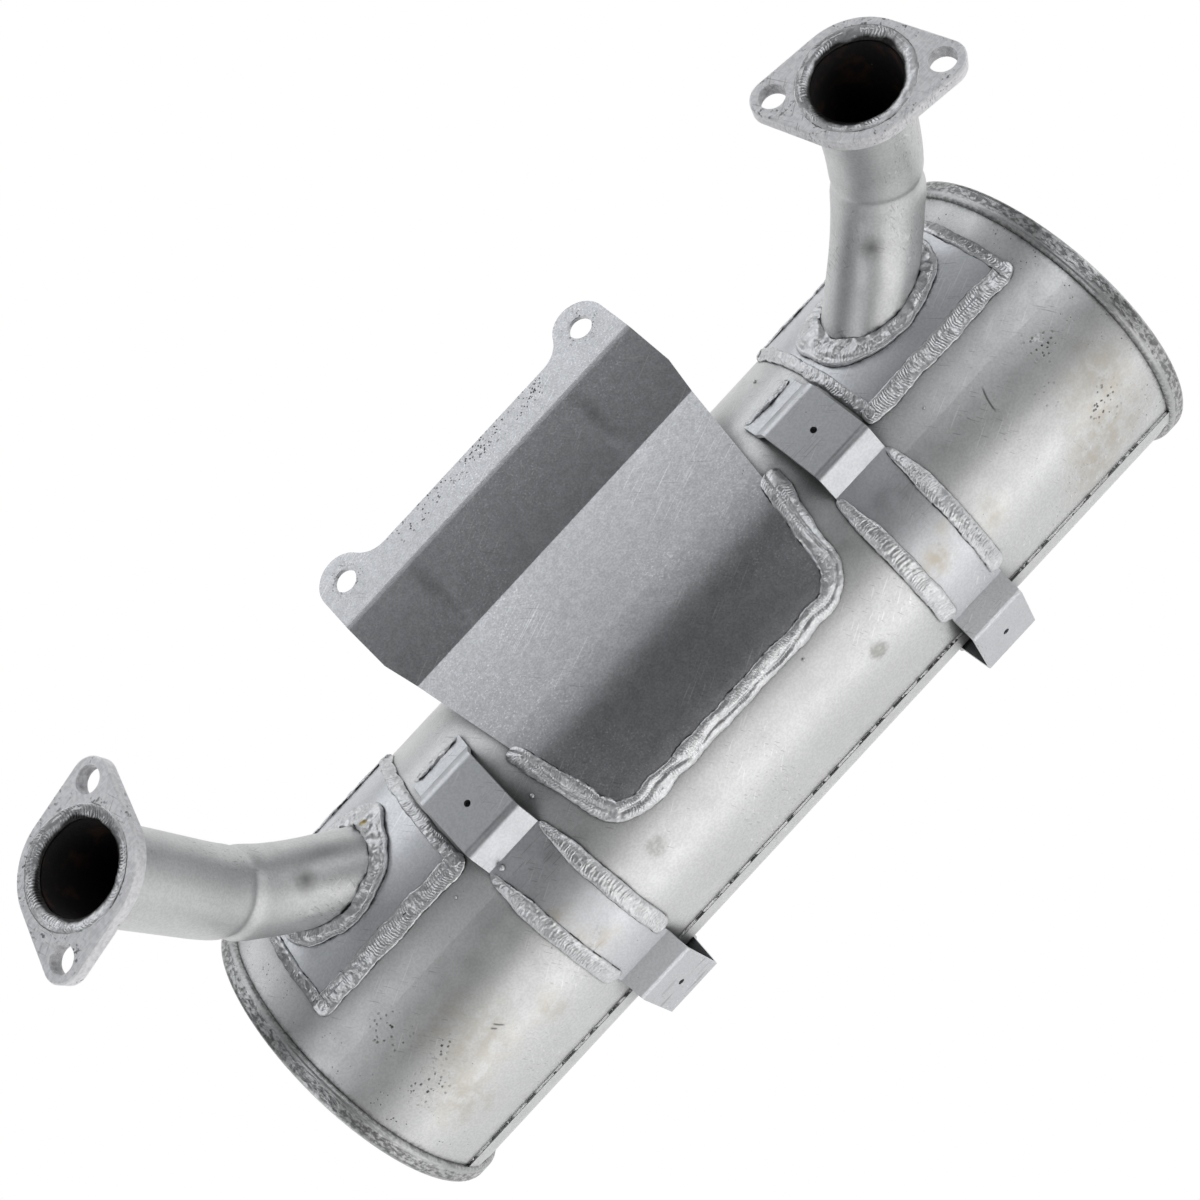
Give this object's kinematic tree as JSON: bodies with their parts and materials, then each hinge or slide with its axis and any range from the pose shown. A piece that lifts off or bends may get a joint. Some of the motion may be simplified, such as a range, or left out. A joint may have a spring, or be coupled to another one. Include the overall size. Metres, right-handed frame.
{
  "type": "muffler",
  "caption": "Welded sheet-steel engine muffler: round body with crimped caps and a lock seam, bent inlet pipes with bolted flanges, a folded bracket with ears and hat-shaped straps.",
  "frame": {"origin": "midway between the bracket's bolt holes, on the outer face of its strip", "axes": "+X along the body towards the shorter inlet pipe, +Z square to the bolt face on the side the inlet flanges face, +Y out along the strip, away from the body"},
  "size_m": [0.486, 0.2323, 0.3431],
  "materials": {
    "coated_steel": "matte",
    "weld_metal": "matte",
    "flange_steel": "satin",
    "inner_steel": "satin"
  },
  "bodies": {
    "root": {"baffle_left": "inner_steel", "baffle_right": "inner_steel", "bracket": "coated_steel", "bracket_weld": "weld_metal", "end_cap_left": "coated_steel", "end_cap_right": "coated_steel", "flange_left": "flange_steel", "flange_right": "flange_steel", "flange_weld_left": "weld_metal", "flange_weld_right": "weld_metal", "inlet_pipe_left": "coated_steel", "inlet_pipe_right": "coated_steel", "outlet_pipe": "coated_steel", "outlet_weld": "weld_metal", "perforated_tube_left": "inner_steel", "perforated_tube_right": "inner_steel", "pipe_weld_left": "weld_metal", "pipe_weld_right": "weld_metal", "saddle_left": "coated_steel", "saddle_right": "coated_steel", "saddle_weld_left": "weld_metal", "saddle_weld_right": "weld_metal", "shell": "coated_steel", "strap_left": "coated_steel", "strap_right": "coated_steel", "strap_weld_left_bottom": "weld_metal", "strap_weld_left_inner": "weld_metal", "strap_weld_left_outer": "weld_metal", "strap_weld_left_top": "weld_metal", "strap_weld_right_bottom": "weld_metal", "strap_weld_right_inner": "weld_metal", "strap_weld_right_outer": "weld_metal", "strap_weld_right_top": "weld_metal"}
  },
  "joints": []
}
